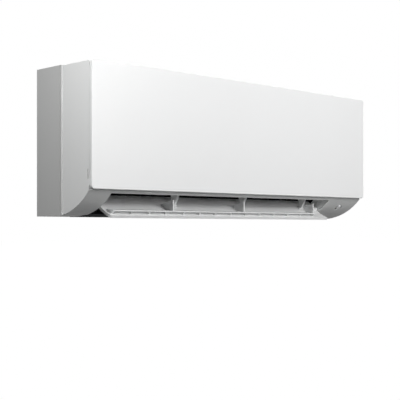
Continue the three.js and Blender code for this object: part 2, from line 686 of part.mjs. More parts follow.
// ---- Fan ----
const FAN_LEFT = DUCT_LEFT + 6;
const FAN_RIGHT = DUCT_RIGHT - 6;
const DISC_THICKNESS = 2.5;

function fanBlade(angle) {
  const twist = 14;
  const at = (radius, degrees) => {
    const turn = THREE.MathUtils.degToRad(degrees);
    return [radius * Math.cos(turn), radius * Math.sin(turn)];
  };
  return prism(outline([
    at(FAN_HUB_INNER, angle), at(FAN_RADIUS - 1, angle + twist),
    at(FAN_RADIUS - 1, angle + twist + 2), at(FAN_HUB_INNER, angle + 2.4),
  ]), FAN_LEFT, FAN_RIGHT);
}

function crossFlowFan() {
  const pitch = (FAN_RIGHT - FAN_LEFT - DISC_THICKNESS) / (FAN_DISCS - 1);
  const discs = [];
  for (let i = 0; i < FAN_DISCS; i += 1) {
    const left = FAN_LEFT + i * pitch;
    const disc = rodAlongX(left, left + DISC_THICKNESS, 0, 0, FAN_RADIUS, 26);
    const isEnd = i === 0 || i === FAN_DISCS - 1;
    discs.push(isEnd ? disc : cut(disc,
      rodAlongX(left - 1, left + DISC_THICKNESS + 1, 0, 0, FAN_HUB_INNER - 2, 26)));
  }
  const blades = [];
  for (let i = 0; i < BLADE_COUNT; i += 1) blades.push(fanBlade((i * 360) / BLADE_COUNT));
  const bosses = [[FAN_LEFT - 3, FAN_LEFT + 16], [FAN_RIGHT - 16, FAN_RIGHT + 3]];
  const bores = [[FAN_LEFT - 4, FAN_LEFT + 12], [FAN_RIGHT - 12, FAN_RIGHT + 4]];
  return cut(
    join(discs[0], ...discs.slice(1), ...blades,
      ...bosses.map(([a, b]) => rodAlongX(a, b, 0, 0, 10, 16))),
    ...bores.map(([a, b]) => rodAlongX(a, b, 0, 0, SHAFT_RADIUS + CLEAR, 16)),
  );
}

function ring(left, right, y, z, outer, inner, sides = 24) {
  return cut(
    rodAlongX(left, right, y, z, outer, sides),
    rodAlongX(left - 1, right + 1, y, z, inner, sides),
  );
}

function fanGroup() {
  const rotor = group([0, FAN_Y, FAN_Z]);
  piece('cross_flow_fan', crossFlowFan(), 'black', rotor);
  piece('fan_end_shaft', rodAlongX(DUCT_LEFT - 10, FAN_LEFT + 11, 0, 0, SHAFT_RADIUS), 'steel',
    rotor);
  piece('motor_shaft', rodAlongX(FAN_RIGHT - 11, MOTOR_LEFT + 8, 0, 0, SHAFT_RADIUS), 'steel',
    rotor);
  const ductFace = DUCT_LEFT - WALL;
  piece('fan_bearing', join(
    ring(ductFace - 6, DUCT_LEFT + 1, FAN_Y, FAN_Z, SLEEVE_RADIUS, SHAFT_RADIUS + CLEAR),
    ring(ductFace - 5, DUCT_LEFT, FAN_Y, FAN_Z, SEAL_RADIUS, SLEEVE_RADIUS - 1),
    ring(ductFace - 5, ductFace - CLEAR, FAN_Y, FAN_Z, SEAL_RADIUS + 4, SLEEVE_RADIUS - 1),
  ), 'rubber');
}

function fanMotor() {
  const right = MOTOR_LEFT + MOTOR_LENGTH;
  const can = join(
    rodAlongX(MOTOR_LEFT, right, FAN_Y, FAN_Z, MOTOR_RADIUS, 32),
    rodAlongX(MOTOR_LEFT - 7, MOTOR_LEFT + 1, FAN_Y, FAN_Z, 13, 20),
    rodAlongX(right - 1, right + 6, FAN_Y, FAN_Z, 13, 20),
  );
  return cut(can, rodAlongX(MOTOR_LEFT - 8, MOTOR_LEFT + 10, FAN_Y, FAN_Z,
    SHAFT_RADIUS + CLEAR));
}

function motorClamp() {
  const band = ring(MOTOR_LEFT + 10, MOTOR_LEFT + MOTOR_LENGTH - 12, FAN_Y, FAN_Z,
    MOTOR_RADIUS + CLEAR + 2.5, MOTOR_RADIUS + CLEAR, 32);
  const reach = MOTOR_RADIUS + 5;
  return cut(band, box(MOTOR_LEFT, MOTOR_LEFT + MOTOR_LENGTH, FAN_Y + 20, FAN_Y + reach,
    FAN_Z - reach, FAN_Z + reach));
}

// ---- Vanes, rods and their drives ----
function vaneBlade() {
  const blade = prism(outline(drawn([
    [90, 44], [96.5, 28], [100, 14], [112, 11.5], [126, 21], [129, 48], [122, 66], [101, 68],
    [92, 58],
  ]).map(([y, z]) => [y - VANE_AXIS, z])), -VANE_THICKNESS / 2, VANE_THICKNESS / 2);
  const pin = rodAlongZ(5 * TALL, 14 * TALL, 0, 0, 2, 10);
  const notch = box(-5, 5, ROD_REACH - 3.2, 40, ROD_BOTTOM - CLEAR,
    ROD_BOTTOM + ROD_SIZE + CLEAR);
  return cut(join(blade, pin), notch);
}

function linkRod(left, right, eye) {
  const y = VANE_AXIS + ROD_REACH;
  const bar = box(left, right, y - ROD_SIZE / 2, y + ROD_SIZE / 2, ROD_BOTTOM,
    ROD_BOTTOM + ROD_SIZE);
  const eyeRing = rodAlongZ(ROD_BOTTOM, ROD_BOTTOM + ROD_SIZE, eye, y, 4, 14);
  return cut(join(bar, eyeRing), rodAlongZ(ROD_BOTTOM - 1, ROD_BOTTOM + ROD_SIZE + 1, eye, y,
    1.5 + CLEAR, 12));
}

function crankArm(x) {
  const high = ROD_BOTTOM - CLEAR;
  return join(
    rodAlongZ(high - 5, high, x, VANE_AXIS, 5, 14),
    box(x - 3.5, x + 3.5, VANE_AXIS, VANE_AXIS + ROD_REACH, high - 3, high),
    rodAlongZ(high - 3, high, x, VANE_AXIS + ROD_REACH, 3.5, 14),
    rodAlongZ(high - 1, high + 4, x, VANE_AXIS + ROD_REACH, 1.5, 12),
    rodAlongZ(high - 16, high - 3, x, VANE_AXIS, 2.5, 12),
  );
}

function vaneDrive(side, x, firstVane, lastVane) {
  const top = ROD_BOTTOM - 10.5;
  const motor = cut(
    join(rodAlongZ(bellyHeight(SEAM) + WALL + CLEAR, top, x, VANE_AXIS, 11.4, 20),
      rodAlongZ(top - 1, top + 2, x, VANE_AXIS, 5, 14)),
    rodAlongZ(top - 8, top + 4, x, VANE_AXIS, 2.5 + CLEAR, 12),
  );
  piece(`vane_motor_${side}`, motor, 'steel');
  piece(`vane_crank_${side}`, crankArm(x), 'white');
  const span = [x, vaneX(firstVane), vaneX(lastVane)];
  const overrun = 6;
  const left = Math.min(...span) - (side === 'left' ? 0 : overrun);
  const right = Math.max(...span) + (side === 'left' ? overrun : 0);
  piece(`vane_rod_${side}`, linkRod(left, right, x), 'white');
}

// ---- Evaporator ----
const COIL_SECTIONS = [
  { name: 'front_lower', path: [[COIL_FRONT, 92 * TALL], [COIL_FRONT, 172 * TALL]] },
  { name: 'front_upper', path: drawn([[19, 188], [84, 289]]) },
  { name: 'rear', path: drawn([[130, 289], [172, 205]]) },
];
const BEND_REACH = 22; // of the U bends beyond the fins
const BEND_SHARES = [0.28, 0.72]; // where they stand along each section

class BendCurve extends THREE.Curve {
  constructor(x, reach, middle, along) {
    super();
    this.x = x;
    this.reach = reach;
    this.middle = middle;
    this.along = along;
  }

  getPoint(t) {
    const sweep = -BEND_RADIUS * Math.cos(Math.PI * t);
    return new THREE.Vector3(
      this.x + this.reach * Math.sin(Math.PI * t),
      this.middle.x + this.along.x * sweep,
      this.middle.y + this.along.y * sweep,
    );
  }
}

function roundShape(radius, sides) {
  const points = [];
  for (let i = 0; i < sides; i += 1) {
    const angle = (2 * Math.PI * i) / sides;
    points.push(new THREE.Vector2(radius * Math.cos(angle), radius * Math.sin(angle)));
  }
  return new THREE.Shape(points);
}

function tube(curve, radius, sides, steps) {
  return solid(new THREE.ExtrudeGeometry(roundShape(radius, sides), {
    steps,
    extrudePath: curve,
    bevelEnabled: false,
  }));
}

function coilFrame(section) {
  const [from, to] = section.path.map(([y, z]) => new THREE.Vector2(y, z));
  const along = to.clone().sub(from);
  const length = along.length();
  along.normalize();
  const inward = new THREE.Vector2(along.y, -along.x).multiplyScalar(COIL_THICKNESS / 2);
  return { from: from.add(inward), along, length };
}

function coilBends(section, radius) {
  const { from, along, length } = coilFrame(section);
  const bends = [];
  for (const share of BEND_SHARES) {
    const middle = from.clone().addScaledVector(along, share * length);
    for (const [x, reach] of [[COIL_LEFT + 3, -BEND_REACH], [COIL_RIGHT - 3, BEND_REACH]]) {
      bends.push(tube(new BendCurve(x, reach, middle, along), radius, 6, 6));
    }
  }
  return bends;
}

function coilSection(section) {
  const slab = prism(strip(section.path, 0, -COIL_THICKNESS), COIL_LEFT, COIL_RIGHT);
  return join(slab, ...coilBends(section, TUBE_RADIUS));
}

function coilEndPlate(left) {
  const sheet = prism(outline([
    [PAN_FRONT, 90 * TALL],
    [PAN_FRONT, 190 * TALL],
    ...drawn([[82, 294], [132, 294], [176, 206], [170, 196], [149, 190], [146, 198],
      [106, 272], [44, 170]]),
    [COIL_FRONT + COIL_THICKNESS + 2, 90 * TALL],
  ]), left, left + COIL_PLATE);
  return cut(sheet, ...COIL_SECTIONS.flatMap((section) => coilBends(section, TUBE_RADIUS + 1)));
}

// ---- Filters ----
const FILTER_REAR = 128 * DEEP;

function filterPath() {
  const front = CASE_FRONT + WALL + CLEAR;
  const top = CASE_TOP - GRILLE_DEPTH - CLEAR;
  const bend = 38 * ROUND;
  return [
    [front, FILTER_LOW - 3],
    ...arcPoints(front + bend, top - bend, bend, 180, 90, 6),
    [FILTER_REAR, top],
  ];
}

function airFilter(left, right) {
  const path = filterPath();
  const net = prism(strip(path, -0.4, -FILTER_THICKNESS + 0.5), left, right);
  const frame = prism(strip(path, 0, -FILTER_THICKNESS), left, right);
  const columns = 3;
  const bar = 5;
  const step = (right - left - bar) / columns;
  const bars = [FILTER_LOW - 3, 150 * TALL, 220 * TALL].map((z) => (
    box(left, right, 0, SEAM / 5, z, z + bar)));
  for (const y of [55 * DEEP, FILTER_REAR - bar]) {
    bars.push(box(left, right, y, y + bar, FILTER_HIGH, CASE_TOP));
  }
  for (let i = 0; i <= columns; i += 1) {
    const x = left + i * step;
    bars.push(box(x, x + bar, 0, FILTER_REAR, FILTER_LOW - 3, CASE_TOP));
  }
  return join(net, frame.intersect(join(...bars)));
}

// ---- Electrical parts ----
const BOX_LEFT = DUCT_RIGHT + MOTOR_GAP;
const BOX_RIGHT = CASE_HALF - WALL - CLEAR;
const [BOX_FRONT, BOX_LOW] = at(30, 188);
const [BOX_REAR, BOX_HIGH] = at(165, 286);
const BOX_WALL = 2;
const POST_REACH = 12;

function controlBox() {
  const shell = cut(
    box(BOX_LEFT, BOX_RIGHT, BOX_FRONT, BOX_REAR, BOX_LOW, BOX_HIGH),
    box(BOX_LEFT + BOX_WALL, BOX_RIGHT - BOX_WALL, BOX_FRONT - 1, BOX_REAR - BOX_WALL,
      BOX_LOW + BOX_WALL, BOX_HIGH - BOX_WALL),
  );
  const posts = [BOX_LEFT + 12, BOX_RIGHT - 12].map((x) => (
    rodAlongY(BOX_REAR - POST_REACH, BOX_REAR - 1, x, (BOX_LOW + BOX_HIGH) / 2, 3, 10)));
  return join(shell, ...posts);
}

// Each part stands on the board at [x, z], so wide and so tall.
function controlBoard() {
  const rear = BOX_REAR - POST_REACH - CLEAR;
  const front = rear - 1.6;
  const board = box(BOX_LEFT + 4, BOX_RIGHT - 4, front, rear, BOX_LOW + 6, BOX_HIGH - 6);
  const parts = [[16, 22, 24, 14], [43, 26, 18, 22], [66, 52, 16, 12], [28, 68, 28, 10],
    [53, 74, 12, 8]];
  return join(board, ...parts.map(([x, z, width, tall]) => {
    const left = BOX_LEFT + x - width / 2;
    const low = BOX_LOW + z - width / 2;
    return box(left, left + width, front - tall, front + 0.6, low, low + width);
  }));
}

function terminalBlock() {
  const high = BOX_LOW - CLEAR;
  const left = BOX_LEFT + 20;
  const front = 44 * DEEP;
  const pitch = 13.5;
  const poles = 4;
  const block = box(left, left + poles * pitch + 2, front, front + 22, high - 16, high);
  const grooves = [];
  for (let i = 0; i < poles; i += 1) {
    const x = left + 3 + i * pitch;
    grooves.push(box(x, x + pitch - RIB, front - 1, front + 10, high - 18, high - 5));
  }
  return cut(block, ...grooves);
}

function sensorParts() {
  const place = group(SENSOR_PLACE, SENSOR_TURN);
  const bezel = cut(
    join(oval(SENSOR_WIDTH - 2 * CLEAR, SENSOR_HEIGHT - 2 * CLEAR, -4, -0.8),
      oval(SENSOR_WIDTH + 5, SENSOR_HEIGHT + 5, -5.2, -3.4)),
    oval(11, 11, -7, 3, 16).translate([0, DOME_UP, 0]),
    oval(2.4, 2.4, -7, 3, 8).translate([-2, -6, 0]),
  );
  piece('receiver_bezel', bezel, 'grey', place);
  const geometry = new THREE.SphereGeometry(5.2, 16, 6, 0, 2 * Math.PI, 0, Math.PI / 2);
  geometry.rotateX(Math.PI / 2).scale(1, 1, 0.6).translate(0, DOME_UP, -1.2);
  const dome = join(oval(10.4, 10.4, -5, -1.1, 16).translate([0, DOME_UP, 0]),
    solid(closedDome(geometry)));
  piece('receiver_dome', dome, 'lens', place);
  const board = box(-17, 17, -13, 13, -7.1, -5.5);
  piece('receiver_board', board, 'board', place);
}

// The flat underside that an open half sphere lacks.
function closedDome(geometry) {
  const bare = geometry.clone();
  bare.deleteAttribute('normal');
  bare.deleteAttribute('uv');
  const merged = mergeVertices(bare, 1e-4);
  const position = merged.attributes.position;
  let lowest = Infinity;
  for (let i = 0; i < position.count; i += 1) lowest = Math.min(lowest, position.getZ(i));
  const rim = [];
  for (let i = 0; i < position.count; i += 1) {
    if (position.getZ(i) < lowest + 1e-3) rim.push(i);
  }
  const middleY = rim.reduce((sum, i) => sum + position.getY(i), 0) / rim.length;
  rim.sort((a, b) => (
    Math.atan2(position.getY(a) - middleY, position.getX(a))
    - Math.atan2(position.getY(b) - middleY, position.getX(b))));
  const index = Array.from(merged.index.array);
  for (let i = 1; i < rim.length - 1; i += 1) index.push(rim[0], rim[i + 1], rim[i]);
  merged.setIndex(index);
  return merged;
}

// ---- Pipes ----
function pipe(points, radius) {
  const curve = new THREE.CatmullRomCurve3(points.map((p) => new THREE.Vector3(...p)),
    false, 'centripetal');
  return tube(curve, radius, 8, 28);
}

function flareNut(x, y, z, radius, bore) {
  return cut(
    rodAlongX(x, x + 1.7 * radius, y, z, radius, 6),
    rodAlongX(x - 1, x + 2 * radius, y, z, bore + CLEAR, 12),
  );
}

const GAS = { radius: 4.75, run: at(168, 18), nut: 11 };
const LIQUID = { radius: 3.2, run: at(175, 41), nut: 8.5 };
const PIPE_END = CHANNEL_LEFT + 80;
const BEND_X = DUCT_RIGHT + 14.7; // where the pipes come down beside the coil
const LIQUID_DEPTH = CHASSIS_REAR - WALL - LIQUID.radius - 0.5;
const GAS_DEPTH = LIQUID_DEPTH - 9.5;

function pipes() {
  const start = DUCT_RIGHT + WALL;
  const middle = alongOutlet(0.55);
  piece('gas_pipe', pipe([
    [start + 1, ...at(158, 196)], [start + 9, ...at(160, 196)], [BEND_X, GAS_DEPTH, 180 * TALL],
    [BEND_X, GAS_DEPTH, 110 * TALL], [BEND_X, GAS_DEPTH, 45 * TALL],
    [BEND_X - 8, GAS_DEPTH - 1, 24 * TALL],
    [BEND_X - 26, ...GAS.run], [alongOutlet(0.83), ...GAS.run], [middle, ...GAS.run],
    [PIPE_END, ...GAS.run],
  ], GAS.radius), 'copper');
  piece('liquid_pipe', pipe([
    [start + 1, ...at(152, 236)], [start + 14, ...at(158, 238)],
    [BEND_X + 9, LIQUID_DEPTH - 5.5, 225 * TALL], [BEND_X + 9, LIQUID_DEPTH - 0.5, 190 * TALL],
    [BEND_X + 9, LIQUID_DEPTH, 120 * TALL], [BEND_X + 9, LIQUID_DEPTH, 70 * TALL],
    [BEND_X, LIQUID_DEPTH - 1, 47 * TALL], [BEND_X - 28, LIQUID_DEPTH - 5.5, LIQUID.run[1]],
    [alongOutlet(0.83), ...LIQUID.run], [middle, ...LIQUID.run], [PIPE_END + 30, ...LIQUID.run],
  ], LIQUID.radius), 'copper');
  piece('gas_nut', flareNut(PIPE_END + 4, ...GAS.run, GAS.nut, GAS.radius), 'brass');
  piece('liquid_nut', flareNut(PIPE_END + 34, ...LIQUID.run, LIQUID.nut, LIQUID.radius),
    'brass');
}

// ---- Assembly ----
piece('wall_plate', wallPlate(), 'steel');
piece('rear_chassis', rearChassis(), 'white');
piece('front_casing', frontCasing(), 'white');
piece('top_grille', topGrille(), 'white');
piece('front_panel', frontPanel(), 'white');
piece('air_duct', airDuct(), 'black');
piece('drain_pan', drainPan(), 'grey');
const plugEnd = COIL_RIGHT + 16;
piece('drain_plug', join(
  rodAlongX(plugEnd - 10, plugEnd + 1, ...SPIGOT, SPIGOT_RADIUS - 1.5 - CLEAR),
  rodAlongX(plugEnd + CLEAR, plugEnd + 4, ...SPIGOT, SPIGOT_RADIUS + 2),
), 'rubber');

const outerSkin = flapStrip(FLAP_FRONT, FLAP_REAR, 0.2, SKIN);
piece('flap_outer_skin', prism(outerSkin, FLAP_LEFT, FLAP_RIGHT), 'whiteFlap', flap);
piece('flap_inner_skin', flapInnerSkin(), 'whiteFlap', flap);
BRACKET_PLACES.forEach((x, i) => {
  piece(`flap_bracket_${i + 1}`, hangingBracket(x), 'white');
  piece(`flap_pin_${i + 1}`, rodAlongX(x - 7.6, x + 7.6, 0, 0, PIN_RADIUS, 12), 'steel', flap);
});
piece('flap_shaft', rodAlongX(FLAP_RIGHT - 9, DUCT_RIGHT + WALL + 6, 0, 0, FLAP_SHAFT_RADIUS,
  12), 'steel', flap);
const flapMotorLeft = DUCT_RIGHT + WALL + CLEAR;
piece('flap_motor', cut(
  rodAlongX(flapMotorLeft, flapMotorLeft + 18, PIVOT_Y + 5, PIVOT_Z + 8.5, 12, 24),
  rodAlongX(flapMotorLeft - 1, flapMotorLeft + 8, PIVOT_Y, PIVOT_Z, FLAP_SHAFT_RADIUS + CLEAR,
    12),
), 'steel');

fanGroup();
piece('fan_motor', fanMotor(), 'steel');
piece('motor_clamp', motorClamp(), 'grey');

for (let i = 0; i < VANE_COUNT; i += 1) {
  piece(`vane_${i + 1}`, vaneBlade(), 'black', group([vaneX(i), VANE_AXIS, 0]));
}
vaneDrive('left', DUCT_LEFT - 18, 0, VANE_COUNT / 2 - 1);
vaneDrive('right', DUCT_RIGHT + 18, VANE_COUNT / 2, VANE_COUNT - 1);

COIL_SECTIONS.forEach((section) => {
  piece(`coil_${section.name}`, coilSection(section), 'aluminium');
});
piece('coil_plate_left', coilEndPlate(DUCT_LEFT + CLEAR), 'steel');
piece('coil_plate_right', coilEndPlate(DUCT_RIGHT - CLEAR - COIL_PLATE), 'steel');

piece('filter_left', airFilter(OUTLET_LEFT - 5, FILTER_POST - 2), 'net');
piece('filter_right', airFilter(FILTER_POST + 2, OUTLET_RIGHT + 5), 'net');

piece('control_box', controlBox(), 'grey');
piece('control_box_cover', box(BOX_LEFT, BOX_RIGHT, BOX_FRONT - CLEAR - BOX_WALL,
  BOX_FRONT - CLEAR, BOX_LOW, BOX_HIGH), 'steel');
piece('control_board', controlBoard(), 'board');
piece('terminal_block', terminalBlock(), 'black');
sensorParts();
pipes();

const [buttonX, buttonZ] = BUTTON_PLACE;
piece('auto_button', join(
  rodAlongY(CASE_FRONT - 0.8, CASE_FRONT + WALL + 2, buttonX, buttonZ, BUTTON_RADIUS),
  rodAlongY(CASE_FRONT + WALL + CLEAR, CASE_FRONT + WALL + 2, buttonX, buttonZ,
    BUTTON_RADIUS + 2),
), 'white');
const [sensorY, sensorZ] = at(20, 102);
piece('room_sensor', join(
  box(DUCT_RIGHT, DUCT_RIGHT + 10, sensorY - 5, sensorY + 4, sensorZ - 4, sensorZ + 4),
  rodAlongZ(sensorZ + 3, sensorZ + 20, DUCT_RIGHT + 6, sensorY, 2.5, 10),
), 'black');

export default unit;
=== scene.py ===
"""Looks of a wall-mounted mini split indoor unit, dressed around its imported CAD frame."""
import json
import math

import bmesh
import bpy
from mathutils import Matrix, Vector


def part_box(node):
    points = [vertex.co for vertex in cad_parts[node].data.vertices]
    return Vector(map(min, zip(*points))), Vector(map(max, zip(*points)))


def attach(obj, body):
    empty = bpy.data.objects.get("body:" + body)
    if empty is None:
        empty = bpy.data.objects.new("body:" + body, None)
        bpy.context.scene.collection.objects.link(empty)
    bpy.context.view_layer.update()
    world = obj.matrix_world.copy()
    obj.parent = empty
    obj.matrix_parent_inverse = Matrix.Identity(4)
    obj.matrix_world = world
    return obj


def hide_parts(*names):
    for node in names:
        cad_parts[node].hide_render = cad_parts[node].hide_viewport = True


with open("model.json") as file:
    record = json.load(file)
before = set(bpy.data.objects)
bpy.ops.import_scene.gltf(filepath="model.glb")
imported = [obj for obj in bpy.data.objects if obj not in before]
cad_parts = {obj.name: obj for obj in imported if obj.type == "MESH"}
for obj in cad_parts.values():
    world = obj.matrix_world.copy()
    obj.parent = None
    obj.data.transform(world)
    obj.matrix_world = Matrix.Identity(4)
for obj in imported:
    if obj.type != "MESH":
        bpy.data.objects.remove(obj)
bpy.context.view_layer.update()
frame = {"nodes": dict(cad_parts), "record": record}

MM = 0.001
COLLECTION = bpy.context.scene.collection

# ---- Side view of the unit: x from its middle, depth behind the panel's face, height above
# its underside, all in millimetres ----
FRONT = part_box("front_panel")[0].y
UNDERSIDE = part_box("rear_chassis")[0].z


def at(x, depth, height):
    return Vector((x * MM, FRONT + depth * MM, UNDERSIDE + height * MM))


# ---- Camera: the photograph's place and lens ----
CAMERA_PLACE = (-1.5798, -1.6778, -0.1781)  # metres
CAMERA_TURN = -43.9  # degrees from straight ahead, level
LENS = 85
FILM_WIDTH = 36
SHIFT = (-0.00125, 0.06875)
NEAREST = 0.05


def make_camera():
    data = bpy.data.cameras.new("camera")
    data.lens = LENS
    data.sensor_width = FILM_WIDTH
    data.sensor_fit = "HORIZONTAL"
    data.shift_x, data.shift_y = SHIFT
    data.clip_start = NEAREST
    camera = bpy.data.objects.new("camera", data)
    camera.location = CAMERA_PLACE
    camera.rotation_euler = (math.radians(90), 0, math.radians(CAMERA_TURN))
    COLLECTION.objects.link(camera)
    bpy.context.scene.camera = camera


# ---- Materials ----
NOISE_ROUGHNESS = 0.55
MOULD_WEAR = 0.05  # either way from a moulding's roughness
MOULD_GRAIN = 0.00004  # heights of the bumps, in metres
SPANGLE_GRAIN = 0.00004
DRAWN_GRAIN = 0.00003
TRACE_SCALE = 160
TRACE_WIDTH = 0.03


class Nodes:
    """Short names for building one material's node tree."""

    def __init__(self, name):
        self.material = bpy.data.materials.new(name)
        self.material.use_nodes = True
        self.tree = self.material.node_tree
        self.shader = self.tree.nodes["Principled BSDF"]
        self.place = self.add("ShaderNodeTexCoord").outputs["Object"]

    def add(self, kind, **values):
        node = self.tree.nodes.new(kind)
        for key, value in values.items():
            setattr(node, key, value)
        return node

    def link(self, source, target):
        self.tree.links.new(source, target)

    def noise(self, scale, detail=3.0, stretch=(1, 1, 1)):
        mapping = self.add("ShaderNodeMapping")
        mapping.inputs["Scale"].default_value = stretch
        self.link(self.place, mapping.inputs["Vector"])
        node = self.add("ShaderNodeTexNoise")
        node.inputs["Scale"].default_value = scale
        node.inputs["Detail"].default_value = detail
        node.inputs["Roughness"].default_value = NOISE_ROUGHNESS
        self.link(mapping.outputs["Vector"], node.inputs["Vector"])
        return node.outputs["Fac"]

    def crystals(self, scale):
        node = self.add("ShaderNodeTexVoronoi")
        node.inputs["Scale"].default_value = scale
        self.link(self.place, node.inputs["Vector"])
        return node.outputs["Color"]

    def spread(self, source, low, high):
        node = self.add("ShaderNodeMapRange")
        node.inputs["To Min"].default_value = low
        node.inputs["To Max"].default_value = high
        self.link(source, node.inputs["Value"])
        return node.outputs["Result"]

    def shade(self, source, dark, light):
        node = self.add("ShaderNodeMix", data_type="RGBA")
        self.link(source, node.inputs["Factor"])
        node.inputs["A"].default_value = (*dark, 1)
        node.inputs["B"].default_value = (*light, 1)
        return node.outputs["Result"]

    def bump(self, source, strength, distance):
        node = self.add("ShaderNodeBump")
        node.inputs["Strength"].default_value = strength
        node.inputs["Distance"].default_value = distance
        self.link(source, node.inputs["Height"])
        self.link(node.outputs["Normal"], self.shader.inputs["Normal"])

    def set(self, name, value):
        self.shader.inputs[name].default_value = value


def tinted(colour, factor):
    return tuple(channel * factor for channel in colour)


def moulding(name, colour, roughness, grain=0.12, grain_size=0.9, mottle=0.015,
             gloss=0.35):
    """Moulded plastic: a faintly mottled colour, a grain sized in millimetres, uneven gloss."""
    nodes = Nodes(name)
    cloud = nodes.noise(scale=9, detail=4)
    nodes.link(nodes.shade(cloud, tinted(colour, 1 - mottle), tinted(colour, 1 + mottle)),
               nodes.shader.inputs["Base Color"])
    wear = nodes.noise(scale=26, detail=5)
    nodes.link(nodes.spread(wear, roughness - MOULD_WEAR, roughness + MOULD_WEAR),
               nodes.shader.inputs["Roughness"])
    nodes.bump(nodes.noise(1 / (grain_size * MM), detail=2), grain, MOULD_GRAIN)
    nodes.set("Specular IOR Level", gloss)
    return nodes.material


def sheet_metal(name, colour, roughness, spangle):
    """Galvanised or plated sheet, with a faint crystal pattern."""
    nodes = Nodes(name)
    split = nodes.add("ShaderNodeSeparateColor")
    nodes.link(nodes.crystals(spangle), split.inputs["Color"])
    nodes.link(nodes.shade(split.outputs["Red"], tinted(colour, 0.9), tinted(colour, 1.06)),
               nodes.shader.inputs["Base Color"])
    nodes.link(nodes.spread(split.outputs["Green"], low=roughness - 0.06, high=roughness + 0.08),
               nodes.shader.inputs["Roughness"])
    nodes.bump(nodes.noise(scale=500), strength=0.1, distance=SPANGLE_GRAIN)
    nodes.set("Metallic", 1.0)
    return nodes.material


def drawn_metal(name, colour, roughness, stretch=(0.04, 1, 1)):
    """Turned or drawn metal with fine lines along its length and a light tarnish."""
    nodes = Nodes(name)
    tarnish = nodes.noise(scale=40, detail=4)
    nodes.link(nodes.shade(tarnish, tinted(colour, 0.82), tinted(colour, 1.04)),
               nodes.shader.inputs["Base Color"])
    lines = nodes.noise(scale=1400, detail=2, stretch=stretch)
    nodes.link(nodes.spread(lines, low=roughness - 0.08, high=roughness + 0.1),
               nodes.shader.inputs["Roughness"])
    nodes.bump(lines, strength=0.15, distance=DRAWN_GRAIN)
    nodes.set("Metallic", 1.0)
    return nodes.material


def circuit_board(name, mask, worn_mask, trace):
    """Solder-masked board with traces under the mask."""
    nodes = Nodes(name)
    brick = nodes.add("ShaderNodeTexBrick")
    brick.inputs["Scale"].default_value = TRACE_SCALE
    brick.inputs["Mortar Size"].default_value = TRACE_WIDTH
    brick.inputs["Color1"].default_value = (*mask, 1)
    brick.inputs["Color2"].default_value = (*worn_mask, 1)
    brick.inputs["Mortar"].default_value = (*trace, 1)
    nodes.link(nodes.place, brick.inputs["Vector"])
    nodes.link(brick.outputs["Color"], nodes.shader.inputs["Base Color"])
    nodes.link(nodes.spread(nodes.noise(scale=60), low=0.3, high=0.45),
               nodes.shader.inputs["Roughness"])
    return nodes.material


WHITE = (0.86, 0.87, 0.865)
BRIGHT_WHITE = (0.9, 0.905, 0.905)
SHADED_WHITE = (0.56, 0.565, 0.56)
BLACK = (0.05, 0.052, 0.056)

LOOKS = {
    "shell_white": (moulding, dict(colour=WHITE, roughness=0.6, gloss=0.12)),
    "chassis_white": (moulding, dict(colour=SHADED_WHITE, roughness=0.6, grain=0.18)),
    "panel_white": (moulding, dict(colour=BRIGHT_WHITE, roughness=0.32, grain=0.03,
                                   grain_size=1.5, mottle=0.008)),
    "flap_white": (moulding, dict(colour=BRIGHT_WHITE, roughness=0.4, grain=0.06)),
    "duct_black": (moulding, dict(colour=BLACK, roughness=0.55, grain=0.25, grain_size=1.2,
                                  mottle=0.1)),
    "vane_black": (moulding, dict(colour=(0.045, 0.046, 0.05), roughness=0.5, grain=0.2,
                                  grain_size=1.2, mottle=0.1)),
    "link_white": (moulding, dict(colour=(0.72, 0.72, 0.7), roughness=0.4, grain=0.05)),
    "fan_black": (moulding, dict(colour=(0.04, 0.041, 0.044), roughness=0.42, grain=0.15,
                                 grain_size=0.8, mottle=0.1)),
    "pan_grey": (moulding, dict(colour=(0.36, 0.38, 0.4), roughness=0.55, grain=0.2)),
    "sheet_steel": (sheet_metal, dict(colour=(0.62, 0.64, 0.66), roughness=0.36, spangle=220)),
    "motor_steel": (sheet_metal, dict(colour=(0.58, 0.6, 0.62), roughness=0.3, spangle=400)),
    "shaft_steel": (drawn_metal, dict(colour=(0.66, 0.67, 0.69), roughness=0.25)),
    "fin_aluminium": (drawn_metal, dict(colour=(0.62, 0.68, 0.74), roughness=0.38,
                                        stretch=(1, 1, 0.2))),
    "pipe_copper": (drawn_metal, dict(colour=(0.72, 0.38, 0.24), roughness=0.3)),
    "nut_brass": (drawn_metal, dict(colour=(0.72, 0.55, 0.26), roughness=0.28)),
    "rubber": (moulding, dict(colour=(0.012, 0.012, 0.012), roughness=0.75, grain=0.4,
                              grain_size=2, mottle=0.15)),
    "board_green": (circuit_board, dict(mask=(0.015, 0.12, 0.05), worn_mask=(0.02, 0.15, 0.065),
                                        trace=(0.05, 0.3, 0.14))),
    "terminal_black": (moulding, dict(colour=(0.02, 0.02, 0.02), roughness=0.5, grain=0.2)),
    "filter_grey": (moulding, dict(colour=(0.16, 0.18, 0.2), roughness=0.5, grain=0.15)),
    "filter_net": (moulding, dict(colour=(0.05, 0.055, 0.06), roughness=0.5, grain=0.1)),
    "bezel_grey": (moulding, dict(colour=(0.72, 0.725, 0.72), roughness=0.45, grain=0.1)),
    "dome_white": (moulding, dict(colour=(0.93, 0.94, 0.95), roughness=0.12, grain=0.02,
                                  gloss=0.9)),
}
MATERIALS = {name: make(name, **settings) for name, (make, settings) in LOOKS.items()}
SLOT_OF_NODE = {part["node"]: part["material_slot"] for part in frame["record"]["subparts"]}
LOOK_OF_NODE = {**SLOT_OF_NODE, "rear_chassis": "chassis_white"}


